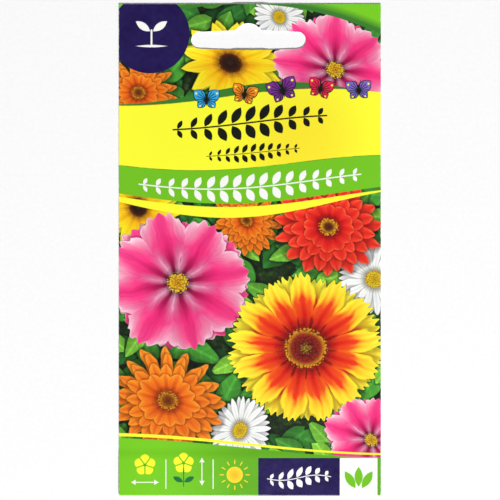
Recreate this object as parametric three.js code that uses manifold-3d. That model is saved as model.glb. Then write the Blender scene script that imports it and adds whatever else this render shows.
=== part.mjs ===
// A paper seed packet lying on its back with the printed face up. One sheet of coated paper is folded into
// a flat tube with a lap seam down the back, closed by a flap at the bottom and glued shut across its
// header, where a euro slot is punched through every layer. Loose gazania seeds lie in the pocket.
// Millimetres, +Z up. Origin at the centre of the base. +X is the packet's right and +Y its slotted end.
import * as THREE from "three";
import Module from "manifold-3d";
import { mergeVertices } from "three/addons/utils/BufferGeometryUtils.js";

const wasm = await Module();
wasm.setup();

// Driving dimensions
const WIDTH = 80;
const HEIGHT = 150;
const PAPER = 0.12; // one layer of coated paper
const GLUE = 0.06; // one film of glue
const LAYER_GAP = 0.1; // between two glued layers, so the glue film has 0.02 clear on each side
const SEAM_HALF = 4; // the lap seam runs over x = -4 to 4
const SEAM_RAMP = 2; // how far the inner lap and the front take to climb over the seam
const HEADER_START = 57; // above this y the front and back are glued together
const POCKET_RISE = 2.6; // how far the front stands off the back at the pocket's middle
const POCKET_BLEND = 6; // length over which the pocket opens from a glued end
const GLUE_MARGIN = 1.1; // how far a film of glue stays inside the layers that it joins
const FLAP_LENGTH = 11;
const FLAP_GLUE_HALF = 34;
const FLAP_TAPER = 0.06; // share of its width that the flap loses towards its free edge
const FLAP_RAMP = 2; // how far the back takes to climb onto the flap
const TUBE_END = -74.55; // the tube's own lower end, inside the flap's fold
// Euro slot: the centres of its round ends lie half apart on each side of (x, y). Its lower edge bows
// down, and its upper one rises to the shoulders of a hump in its middle.
const SLOT = { x: -0.4, y: 63.95, half: 14.92, radius: 2.58, bow: 0.4, rise: 0.4 };
const HUMP_HALF = 4.7;
const HUMP_TOP = 69.15;
const HUMP_FLARE = 1.3; // how far the foot of the hump's side curve reaches in from its shoulder
const HUMP_CROWN = 2.9; // half length of the tangent over the hump's top
const SEED_COUNT = 20;
const SEED_PILE = { centreY: -22, halfX: 21, halfY: 26, spacing: 6.8 };
const SEED_RADIUS = 0.94; // at the seed's wide, tufted end
const SEED_FLATNESS = 0.65; // thickness over width
const SEED_REACH = 3.2; // a seed whose middle is this close to the seam lies on its upper lap
const SEED_CLEAR = 0.03;

const STEP = PAPER + LAYER_GAP; // from one layer's underside to the next one's
const FOLD_OUTER = (2 * PAPER + LAYER_GAP) / 2;
const FOLD_INNER = LAYER_GAP / 2;
const FOLD_X = WIDTH / 2 - FOLD_OUTER;
const BOTTOM = -HEIGHT / 2;
const TOP = HEIGHT / 2;
const PUNCH_DEPTH = 4; // reaches well past both faces of the header
const FLAP_END = BOTTOM + FLAP_LENGTH;
const FLAP_CLEAR = 1; // from the flap's free edge to where the back starts to come down
const BACK_DOWN = FLAP_END + FLAP_CLEAR + FLAP_RAMP; // above this y the back lies on the table
const GLUE_LEVEL = PAPER + (LAYER_GAP - GLUE) / 2;

const coatedPaper = new THREE.MeshStandardMaterial({ color: 0xe8c83a, roughness: 0.38, metalness: 0 });
const glueFilm = new THREE.MeshStandardMaterial({ color: 0xe9e4d2, roughness: 0.6, metalness: 0 });
const seedCoat = new THREE.MeshStandardMaterial({ color: 0x8a6a48, roughness: 0.85, metalness: 0 });

const clamp01 = (t) => Math.min(1, Math.max(0, t));
const smooth = (t) => clamp01(t) ** 2 * (3 - 2 * clamp01(t));

// Height of the back's underside: it lies on the flap near the bottom, and on the table elsewhere.
const base = (y) => STEP * clamp01((BACK_DOWN - y) / FLAP_RAMP);
// 1 over the seam, falling to 0 beside it.
const seamRidge = (x) => clamp01((SEAM_HALF + SEAM_RAMP - Math.abs(x)) / SEAM_RAMP);
// 0 where the front is pressed onto the back, at both ends, and 1 in the open pocket.
const openness = (y) => smooth((HEADER_START - y) / POCKET_BLEND) * smooth((y - TUBE_END) / POCKET_BLEND);

// How far the filled pocket lifts the front.
function bulge(x, y) {
  const along = clamp01((y - TUBE_END) / (HEADER_START - TUBE_END));
  const across = Math.abs(x) / FOLD_X;
  return POCKET_RISE * (1 - across ** 2.2) * (1 - Math.abs(2 * along - 1) ** 2.6);
}

// The sheet's section at y, from the inner lap's free edge round the left fold, over the front and round
// the right fold to the outer lap's free edge. Each column gives the outer and the inner surface.
const frontUnderside = (x, y) => base(y) + STEP + STEP * seamRidge(x) * (1 - openness(y)) + bulge(x, y);
const flat = (x, level) => ({
  x,
  at: (y) => ({ outer: [x, y, base(y) + level], inner: [x, y, base(y) + level + PAPER] }),
});
const front = (x) => ({
  x,
  isFront: true,
  at: (y) => ({ outer: [x, y, frontUnderside(x, y) + PAPER], inner: [x, y, frontUnderside(x, y)] }),
});
const fold = (side, degrees) => {
  const angle = THREE.MathUtils.degToRad(degrees);
  const point = (y, radius) => [
    side * (FOLD_X + radius * Math.cos(angle)),
    y,
    base(y) + FOLD_OUTER + radius * Math.sin(angle),
  ];
  return {
    x: side * FOLD_X,
    isFront: degrees === 90,
    at: (y) => ({ outer: point(y, FOLD_OUTER), inner: point(y, FOLD_INNER) }),
  };
};
const FOLD_ANGLES = [-90, -60, -30, 0, 30, 60, 90];
const FRONT_HALF = [1.5, 4, 6, 10, 15, 20, 25, 30, 34.5, 37.5, 39];
const columns = [
  flat(SEAM_HALF, STEP),
  flat(-SEAM_HALF, STEP),
  flat(-SEAM_HALF - SEAM_RAMP, 0),
  flat(-22, 0),
  ...FOLD_ANGLES.map((a) => fold(-1, a)),
  ...FRONT_HALF.toReversed().map((x) => front(-x)),
  ...FRONT_HALF.map((x) => front(x)),
  ...FOLD_ANGLES.toReversed().map((a) => fold(1, a)),
  flat(22, 0),
  flat(SEAM_HALF + SEAM_RAMP, 0),
  flat(-SEAM_HALF, 0),
];

// Rows along the sheet: the flap's free edge, round the bottom fold, then up the tube.
const flapRow = (y) => ({
  isFlap: true,
  at: (column) => {
    const x = column.x * (1 - (FLAP_TAPER * (y - BOTTOM)) / FLAP_LENGTH);
    return { outer: [x, y, 0], inner: [x, y, PAPER] };
  },
});
const bottomFoldRow = (degrees) => ({
  isFlap: true,
  at: (column) => {
    const angle = THREE.MathUtils.degToRad(degrees);
    const middle = (frontUnderside(column.x, TUBE_END) + PAPER) / 2;
    const y = BOTTOM + middle;
    const point = (radius) => [column.x, y - radius * Math.cos(angle), middle + radius * Math.sin(angle)];
    return { outer: point(middle), inner: point(middle - PAPER) };
  },
});
const tubeRow = (y) => ({ at: (column) => column.at(y) });
const POCKET_ROWS = [-74, -73, -71, -68.5, -65, -63, -61, -58, -54, -48.5, -42, -35, -28, -21, -14];
const UPPER_ROWS = [-7, 0, 7, 14, 21, 28, 34, 40, 45, 49, 52, 54, 56];
const rows = [
  ...[FLAP_END, -67.5, -72].map(flapRow),
  ...[-90, -60, -30, 0, 30, 60, 90].map(bottomFoldRow),
  ...[TUBE_END, ...POCKET_ROWS, ...UPPER_ROWS, HEADER_START, TOP].map(tubeRow),
];

// A closed solid from a grid of outer and inner points. Cells that present() leaves out are not part of it.
function sheetGeometry(grid, present) {
  const positions = [];
  const quad = (a, b, c, d) => positions.push(...a, ...b, ...c, ...a, ...c, ...d);
  const at = (i, j) => grid[j][i];
  for (let j = 0; j + 1 < grid.length; j++) {
    for (let i = 0; i + 1 < grid[j].length; i++) {
      if (!present(i, j)) continue;
      const [a, b, c, d] = [at(i, j), at(i + 1, j), at(i + 1, j + 1), at(i, j + 1)];
      quad(a.outer, b.outer, c.outer, d.outer);
      quad(d.inner, c.inner, b.inner, a.inner);
      if (!present(i, j - 1)) quad(b.outer, a.outer, a.inner, b.inner);
      if (!present(i + 1, j)) quad(c.outer, b.outer, b.inner, c.inner);
      if (!present(i, j + 1)) quad(d.outer, c.outer, c.inner, d.inner);
      if (!present(i - 1, j)) quad(a.outer, d.outer, d.inner, a.inner);
    }
  }
  const geometry = new THREE.BufferGeometry();
  geometry.setAttribute("position", new THREE.Float32BufferAttribute(positions, 3));
  return geometry;
}

function toManifold(geometry) {
  const bare = new THREE.BufferGeometry().setAttribute("position", geometry.getAttribute("position"));
  if (geometry.index) bare.setIndex(geometry.index);
  const merged = mergeVertices(bare, 1e-4);
  return new wasm.Manifold(
    new wasm.Mesh({
      numProp: 3,
      vertProperties: merged.attributes.position.array,
      triVerts: new Uint32Array(merged.index.array),
    }),
  );
}

function toGeometry(solid) {
  const mesh = solid.getMesh();
  const geometry = new THREE.BufferGeometry();
  geometry.setAttribute("position", new THREE.BufferAttribute(mesh.vertProperties, 3));
  geometry.setIndex(new THREE.BufferAttribute(mesh.triVerts, 1));
  return geometry.toNonIndexed();
}

// The euro slot's outline about its own middle. The margin moves every edge outwards.
function slotShape(margin) {
  const { y, half, radius, bow, rise } = SLOT;
  const r = radius + margin;
  const foot = r + rise;
  const top = HUMP_TOP - y + margin;
  const humpHalf = HUMP_HALF + margin;
  const flare = humpHalf - HUMP_FLARE;
  const shape = new THREE.Shape();
  shape.moveTo(-half, -r);
  shape.quadraticCurveTo(0, -r - 2 * bow, half, -r);
  shape.absarc(half, 0, r, -Math.PI / 2, Math.PI / 2, false);
  shape.lineTo(humpHalf, foot);
  shape.bezierCurveTo(flare, foot, HUMP_CROWN, top, 0, top);
  shape.bezierCurveTo(-HUMP_CROWN, top, -flare, foot, -humpHalf, foot);
  shape.lineTo(-half, r);
  shape.absarc(-half, 0, r, Math.PI / 2, (3 * Math.PI) / 2, false);
  return shape;
}

function punchSlot(geometry, margin = 0) {
  const options = { depth: PUNCH_DEPTH, bevelEnabled: false, curveSegments: 8 };
  const punch = new THREE.ExtrudeGeometry(slotShape(margin), options);
  punch.translate(SLOT.x, SLOT.y, -PUNCH_DEPTH / 2);
  return toGeometry(toManifold(geometry).subtract(toManifold(punch)));
}

// A straight film of glue between two layers of the back.
function glueStrip(halfWidth, low, high) {
  const box = new THREE.BoxGeometry(2 * halfWidth, high - low, GLUE);
  return box.translate(0, (low + high) / 2, GLUE_LEVEL + GLUE / 2);
}

// The header's glue follows the step that the seam makes.
function headerGlue() {
  const edge = FOLD_X - GLUE_MARGIN;
  const line = [-edge, -SEAM_HALF - SEAM_RAMP, -SEAM_HALF, SEAM_HALF, SEAM_HALF + SEAM_RAMP, edge];
  const grid = [HEADER_START + GLUE_MARGIN, TOP - GLUE_MARGIN].map((y) =>
    line.map((x) => {
      const z = GLUE_LEVEL + STEP * seamRidge(x);
      return { outer: [x, y, z + GLUE], inner: [x, y, z] };
    }),
  );
  const geometry = sheetGeometry(grid, (i, j) => j === 0 && i >= 0 && i < line.length - 1);
  return punchSlot(geometry, GLUE_MARGIN);
}

// One seed lying along X: a slim achene whose hairs stand in a wide brush at one end. The profile runs
// from its foot over the achene's belly and neck to the brush.
function seedGeometry() {
  const profile = [
    [0, -2.6],
    [0.34, -2.25],
    [0.58, -1.4],
    [0.68, -0.4],
    [0.58, 0.5],
    [0.7, 1.2],
    [SEED_RADIUS, 2.2],
    [0.78, 2.5],
    [0, 2.3],
  ].map(([radius, along]) => new THREE.Vector2(radius, along));
  return new THREE.LatheGeometry(profile, 8).rotateZ(-Math.PI / 2).scale(1, 1, SEED_FLATNESS);
}

// Repeatable random numbers from 0 to 1, by a linear congruential rule.
function randomNumbers(start) {
  const range = 2 ** 32;
  let state = start;
  return () => {
    state = (state * 1664525 + 1013904223) % range;
    return state / range;
  };
}

// The seeds lie scattered over an oval in the lower half of the pocket, none touching another.
function seedPlaces() {
  const { centreY, halfX, halfY, spacing } = SEED_PILE;
  const random = randomNumbers(20);
  const places = [];
  while (places.length < SEED_COUNT) {
    const u = 2 * random() - 1;
    const v = 2 * random() - 1;
    const place = { x: u * halfX, y: centreY + v * halfY, turn: random() * 2 * Math.PI };
    const alone = places.every((other) => Math.hypot(other.x - place.x, other.y - place.y) > spacing);
    if (u * u + v * v < 1 && alone) places.push(place);
  }
  return places;
}

// The cells of the sheet: every one in the tube, and only the front's in the flap that folds under it.
function isPaper(i, j) {
  if (i < 0 || j < 0 || i + 1 >= columns.length || j + 1 >= rows.length) return false;
  return !rows[j].isFlap || (columns[i].isFront === true && columns[i + 1].isFront === true);
}

const packet = new THREE.Group();

function add(name, geometry, material) {
  const mesh = new THREE.Mesh(geometry, material);
  mesh.name = name;
  packet.add(mesh);
  return mesh;
}

const sheetGrid = rows.map((row) => columns.map((column) => row.at(column)));
add("packet_paper", punchSlot(sheetGeometry(sheetGrid, isPaper)), coatedPaper);
add("header_glue", headerGlue(), glueFilm);
add("seam_glue", glueStrip(SEAM_HALF - GLUE_MARGIN, BACK_DOWN, HEADER_START), glueFilm);
add("flap_glue", glueStrip(FLAP_GLUE_HALF, BOTTOM + 3 * GLUE_MARGIN, FLAP_END - GLUE_MARGIN), glueFilm);

for (const [index, { x, y, turn }] of seedPlaces().entries()) {
  const floor = Math.abs(x) < SEAM_HALF + SEED_REACH ? STEP + PAPER : PAPER;
  const seed = add(`seed_${String(index + 1).padStart(2, "0")}`, seedGeometry(), seedCoat);
  seed.rotation.z = turn;
  seed.position.set(x, y, floor + SEED_CLEAR + SEED_RADIUS * SEED_FLATNESS);
}

export default packet;
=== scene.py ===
"""Dresses a flat paper seed packet: the folded and printed sheet, its glue and the seeds in its pocket.

Meshes and prints are worked out in millimetres, and Blender's objects and settings are in metres.
The packet lies on its back: +X is its right, +Y its slotted header and +Z its printed face.
"""

import math
import random
from functools import partial
from typing import NamedTuple

import bpy
import numpy as np
from bpy.props import FloatProperty, FloatVectorProperty, IntProperty, PointerProperty
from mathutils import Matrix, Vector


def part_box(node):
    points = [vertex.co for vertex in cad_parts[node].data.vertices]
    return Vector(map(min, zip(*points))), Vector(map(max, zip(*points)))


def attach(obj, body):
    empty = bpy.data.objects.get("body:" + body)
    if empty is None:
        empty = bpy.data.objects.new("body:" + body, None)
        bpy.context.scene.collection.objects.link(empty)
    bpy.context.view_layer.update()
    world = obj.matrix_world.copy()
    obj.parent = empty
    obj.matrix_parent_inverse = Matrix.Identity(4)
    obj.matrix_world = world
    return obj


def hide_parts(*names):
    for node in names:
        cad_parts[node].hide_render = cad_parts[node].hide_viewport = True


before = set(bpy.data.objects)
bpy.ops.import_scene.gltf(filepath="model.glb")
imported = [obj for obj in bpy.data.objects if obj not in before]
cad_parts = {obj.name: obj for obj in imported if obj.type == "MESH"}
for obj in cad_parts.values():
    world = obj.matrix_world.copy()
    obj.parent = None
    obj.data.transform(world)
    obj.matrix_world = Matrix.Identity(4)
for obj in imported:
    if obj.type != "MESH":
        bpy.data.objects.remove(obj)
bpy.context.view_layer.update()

bl_info = {
    "name": "Seed packet",
    "version": (1, 0, 0),
    "blender": (4, 5, 0),
    "location": "3D View > Sidebar > Seed packet",
    "description": "Builds a printed paper seed packet with its glue and seeds",
    "category": "Object",
}

MM = 0.001
TAU = math.tau
PAPER_NODE = "packet_paper"
GLUE_NODES = ("header_glue", "seam_glue", "flap_glue")
SEED_NODES = sorted(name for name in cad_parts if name.startswith("seed_"))
LOW, HIGH = (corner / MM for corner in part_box(PAPER_NODE))
TOP = HIGH.y
BOTTOM = LOW.y

# The folded sheet, as the packet's solids have it.
PAPER = 0.12
LAYER_GAP = 0.1
STEP = PAPER + LAYER_GAP
SEAM_HALF = 4.0
SEAM_RAMP = 2.0
HEADER_START = 57.0
POCKET_RISE = HIGH.z - STEP - PAPER
POCKET_BLEND = 6.0
FOLD_OUTER = STEP / 2 + PAPER / 2
FOLD_INNER = LAYER_GAP / 2
FOLD_X = HIGH.x - FOLD_OUTER
PANEL_HALF = 39.0
FLAP_LENGTH = 11.0
FLAP_TAPER = 0.06
FLAP_RAMP = 2.0
FLAP_END = BOTTOM + FLAP_LENGTH
BACK_DOWN = FLAP_END + 1.0 + FLAP_RAMP
TUBE_END = -74.55

# The euro slot.
SLOT_CENTRE = (-0.4, 63.95)
SLOT_HALF = 14.92
SLOT_RADIUS = 2.58
SLOT_BOW = 0.4
SLOT_RISE = 0.4
HUMP_HALF = 4.7
HUMP_TOP = 69.15
HUMP_FLARE = 1.3
HUMP_CROWN = 2.9
SLOT_POINTS = 25
HUMP_POINTS = 17

# What some kinds of node are always set to, and how the nodes are laid out in their editor.
PRESETS = {
    "Mix": {"data_type": "RGBA"},
    "TexVoronoi": {"voronoi_dimensions": "2D"},
    "VectorRotate": {"rotation_type": "Z_AXIS"},
}
NODES_IN_ROW = 30
NODE_PITCH = (220, -320)


def linear(hex_colour):
    """An sRGB hex colour as Blender's linear colour."""
    channels = (int(hex_colour[i : i + 2], 16) / 255 for i in (1, 3, 5))
    return tuple(c / 12.92 if c <= 0.04045 else ((c + 0.055) / 1.055) ** 2.4 for c in channels) + (1.0,)


def connect(socket, value):
    """Links an input to an output, or sets it to a plain value."""
    if isinstance(value, bpy.types.NodeSocket):
        socket.id_data.links.new(value, socket)
    elif value is not None:
        socket.default_value = value


def is_number(value):
    """Whether a plain value or an output is a single number."""
    return value.type == "VALUE" if isinstance(value, bpy.types.NodeSocket) else isinstance(value, float)


def put(kind, *inputs, tree=None, marks=None, **settings):
    """Adds a node to its inputs' tree, sets it, fills its inputs in order and gives its output or outputs.

    A kind in capitals is an operation of Math, or of Vector Math where an input is no single number.
    Marks are a curve's heights or a ramp's colours by their place.
    """
    tree = tree or next(value.id_data for value in inputs if isinstance(value, bpy.types.NodeSocket))
    if kind.isupper():
        settings["operation"] = kind
        kind = "Math" if all(map(is_number, inputs)) else "VectorMath"
    node = tree.nodes.new("ShaderNode" + kind)
    row, column = divmod(len(tree.nodes), NODES_IN_ROW)
    node.location = (column * NODE_PITCH[0], row * NODE_PITCH[1])
    for name, value in (PRESETS.get(kind, {}) | settings).items():
        setattr(node, name, value)
    if kind == "FloatCurve":
        line = node.mapping.curves[0]
        for _ in range(len(marks) - 2):
            line.points.new(0.5, 0.5)
        for point, mark in zip(line.points, marks.items()):
            point.location = mark
        node.mapping.update()
    elif kind == "ValToRGB":
        ramp = node.color_ramp
        for place in list(marks)[1:-1]:
            ramp.elements.new(place)
        for element, (place, colour) in zip(ramp.elements, marks.items()):
            element.position = place
            element.color = linear(colour)
    for socket, value in zip([socket for socket in node.inputs if socket.enabled], inputs):
        connect(socket, value)
    outputs = [socket for socket in node.outputs if socket.enabled]
    return node.outputs if len(outputs) > 1 else outputs[0]


# ---------------------------------------------------------------------------------------------------
# Drawing with ink. A place is a point of the print in millimetres, and every shape is given by the
# distance inside its outline, which is above zero within it.

INK_EDGE = 0.12
SHADOW = linear("#030403")
HAIR_SHIFT = (0.01, 0.01, 0.01)
DROP_LEAN = math.radians(28.0)
ARROW_LINE_HALF = 0.2
ARROW_HEAD = 1.4
ARROW_HEAD_SLOPE = 0.65


def lay_ink(below, ink, inside, edge=INK_EDGE):
    """Prints ink over what is below wherever the distance inside a shape is above zero."""
    return put("Mix", put("MapRange", inside, 0.0, edge, 0.0, 1.0), below, ink)


def cast_shadow(below, inside, reach, strength):
    """Darkens what is below a shape, and softly what lies within reach of it."""
    return put("Mix", put("MapRange", inside, -reach, 0.0, 0.0, strength), below, SHADOW)


def shine(colour, tone, dark=SHADOW):
    """A colour made lighter by a tone above one, or darker by one below it."""
    return put("Mix", tone, dark, colour, clamp_factor=False)


def after(place, below):
    """The same place to within a hair, but worked out only once the layer below it is.

    Cycles has little room for values in flight, so the layers are drawn one after another.
    """
    return put("MULTIPLY_ADD", below, HAIR_SHIFT, place)


def grain(place, counts, detail, roughness):
    """Noise with so many grains along each unit of the place."""
    return put("TexNoise", put("MULTIPLY", place, counts), 1.0, detail, roughness)[0]


def combine(operation, first, *others):
    """Several values as one, by an operation that takes two."""
    for other in others:
        first = put(operation, first, other)
    return first


union = partial(combine, "MAXIMUM")
overlap = partial(combine, "MINIMUM")


def about(place, centre, degrees=0.0):
    """Coordinates about a centre, along axes turned by so many degrees."""
    offset = put("SUBTRACT", place, (*centre, 0.0))
    return put("VectorRotate", offset, None, -math.radians(degrees)) if degrees else offset


def circle(place, centre, radius):
    """The distance inside a circle."""
    return put("SUBTRACT", radius, put("DISTANCE", place, (*centre, 0.0)))


def box(place, centre, half, corner=0.25):
    """The distance inside a rectangle with rounded corners, at most their radius."""
    past = put("SUBTRACT", put("ABSOLUTE", about(place, centre)), (half[0] - corner, half[1] - corner, 0.0))
    return put("SUBTRACT", corner, put("LENGTH", put("MAXIMUM", past, (0.0, 0.0, 0.0))))


def lens(place, centre, length, width, degrees=0.0):
    """The distance inside a leaf shape of this length and width, pointed at both ends."""
    x, y, _ = put("SeparateXYZ", put("DIVIDE", about(place, centre, degrees), (length / 2, width / 2, 1.0)))
    return put("MULTIPLY_ADD", put("ADD", put("MULTIPLY", x, x), put("ABSOLUTE", y)), -width / 2, width / 2)


def drop(place, centre, radius):
    """The distance inside a water drop: a circle, and above it a cone of tangents to it."""
    x, y, _ = put("SeparateXYZ", about(place, centre))
    rise = math.sin(DROP_LEAN)
    cone = put("MULTIPLY_ADD", y, -rise, radius)
    cone = put("SUBTRACT", cone, put("MULTIPLY", put("ABSOLUTE", x), math.cos(DROP_LEAN)))
    return union(circle(place, centre, radius), overlap(cone, put("SUBTRACT", y, radius * rise)))


def mirror(place):
    """Coordinates with the left half laid over the right."""
    x, y, _ = put("SeparateXYZ", place)
    return put("CombineXYZ", put("ABSOLUTE", x), y)


def fold_round(place, centre, count, degrees=0.0):
    """Coordinates with every sector of so many about a centre laid over the first, for rays and petals."""
    offset = about(place, centre, degrees)
    radius = put("LENGTH", offset)
    x, y, _ = put("SeparateXYZ", offset)
    angle = put("WRAP", put("ARCTAN2", y, x), math.pi / count, -math.pi / count)
    return put("CombineXYZ", *(put("MULTIPLY", radius, put(part, angle)) for part in ("COSINE", "SINE")))


def double_arrow(place, centre, half, degrees=0.0):
    """The distance inside a thin line with an arrow head at each end."""
    x, y, _ = put("SeparateXYZ", put("ABSOLUTE", about(place, centre, degrees)))
    left = put("SUBTRACT", half, x)
    line = overlap(put("SUBTRACT", ARROW_LINE_HALF, y), left)
    head = put("SUBTRACT", put("MULTIPLY", left, ARROW_HEAD_SLOPE), y)
    return union(line, overlap(head, put("SUBTRACT", ARROW_HEAD, left)))


def wave(x, height, swing, length, shift):
    """The height of a wavy line at x."""
    phase = put("MULTIPLY_ADD", x, TAU / length, TAU * shift / length)
    return put("MULTIPLY_ADD", put("SINE", phase), swing, height)


def fill(below, place, ink, *shapes):
    """Ink within a union of shapes, each given as its function and its sizes."""
    spot = after(place, below)
    return lay_ink(below, ink, union(*(shape(spot, *sizes) for shape, *sizes in shapes)))


def shaded_fill(below, place, ink, other, shape, *sizes):
    """A shape in ink that shifts softly towards another from place to place."""
    spot = after(place, below)
    share = put("MapRange", put("TexNoise", spot, 0.11, 3.0)[0], 0.36, 0.64, 0.0, 1.0)
    return lay_ink(below, put("Mix", share, ink, other), shape(spot, *sizes))


def wavy_band(below, place, ink, low, high):
    """Ink between two wavy lines, each given as its height, swing, wave length and shift."""
    x, y, _ = put("SeparateXYZ", after(place, below))
    above = put("SUBTRACT", y, wave(x, *low))
    return lay_ink(below, ink, overlap(above, put("SUBTRACT", wave(x, *high), y)))


def garland(below, place, ink, line, middle, pairs, pitch, leaf):
    """A leafy stem along a wavy line: an odd count of leaf pairs a pitch apart, smaller at its ends."""
    reach = pairs * pitch / 2
    x, y, _ = put("SeparateXYZ", after(place, below))
    aside = put("ABSOLUTE", put("SUBTRACT", y, wave(x, *line)))
    along = put("SUBTRACT", x, middle)
    away = put("ABSOLUTE", along)
    fade = put("MapRange", away, 0.25 * reach, reach, 1.0, 0.45)
    spot = put("CombineXYZ", put("WRAP", along, pitch / 2, -pitch / 2), aside)
    spot = put("DIVIDE", spot, put("CombineXYZ", fade, fade, 1.0))
    leaves = lens(spot, (0.04 * leaf, 0.5 * leaf), leaf, 0.54 * leaf, 60.0)
    stem = put("SUBTRACT", 0.055 * leaf, aside)
    return lay_ink(below, ink, overlap(union(leaves, stem), put("SUBTRACT", reach, away)))


def blossom(below, place, ink, heart, centre, size):
    """A small flat flower of five petals parted by thin slits, with a heart of another ink."""
    place = after(place, below)
    spot = fold_round(place, centre, 5, 90.0)
    x, y, _ = put("SeparateXYZ", spot)
    slit = put("SUBTRACT", put("MULTIPLY_ADD", x, math.tan(math.pi / 5), -0.06 * size), put("ABSOLUTE", y))
    colour = lay_ink(below, ink, overlap(circle(spot, (0.54 * size, 0.0), 0.46 * size), slit))
    return lay_ink(colour, heart, circle(place, centre, 0.17 * size))


def sprout(below, place, ink, centre, size):
    """A seedling with two leaves on a short stem, over a line of soil."""
    place = about(after(place, below), centre)
    leaf = lens(mirror(place), (0.48 * size, 0.32 * size), size, 0.42 * size, 35.0)
    stem = box(place, (0.0, -0.3 * size), (0.06 * size, 0.45 * size))
    soil = lens(place, (0.0, -0.8 * size), 1.9 * size, 0.16 * size)
    return lay_ink(below, ink, union(leaf, stem, soil))


def sun(below, place, ink, heart, centre, size):
    """A round sun with twelve rays, deeper in its middle."""
    place = after(place, below)
    rays = box(fold_round(place, centre, 12), (0.84 * size, 0.0), (0.16 * size, 0.045 * size))
    disc = circle(place, centre, 0.54 * size)
    colour = lay_ink(lay_ink(below, ink, rays), ink, disc)
    return lay_ink(colour, heart, disc, 0.6 * size)


# ---------------------------------------------------------------------------------------------------
# Flowers and foliage, drawn as soft painted ones.

# How wide a petal is along its length, and how light it is from its middle to its edge.
BROAD = {0.0: 0.1, 0.25: 0.3, 0.6: 0.9, 0.8: 1.0, 0.93: 0.8, 1.0: 0.0}
SLIM = {0.0: 0.25, 0.3: 0.6, 0.6: 0.95, 0.8: 0.9, 0.93: 0.55, 1.0: 0.0}
POINTED = {0.0: 0.3, 0.3: 0.75, 0.55: 1.0, 0.75: 0.8, 0.9: 0.4, 1.0: 0.0}
CREASED = {0.0: 0.72, 0.1: 0.9, 0.45: 1.0, 0.6: 0.86, 0.85: 1.0, 1.0: 0.66}
CUPPED = {0.0: 0.78, 0.4: 0.92, 0.85: 1.0, 1.0: 0.8}


class Look(NamedTuple):
    """How a kind of flower looks. Rings are given as petals, reach and offset, and colours run outwards."""

    rings: tuple
    outline: dict
    width: float
    petal: dict
    stripe: dict
    shade: tuple
    disc: dict
    disc_radius: float
    disc_grain: float
    jitter: float = 0.14
    uneven: float = 0.07
    lobes: float = 0.0
    notch: float = 0.0
    sway: float = 0.12
    fold: dict = CREASED
    stripe_edge: tuple = (0.1, 0.85)


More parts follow.
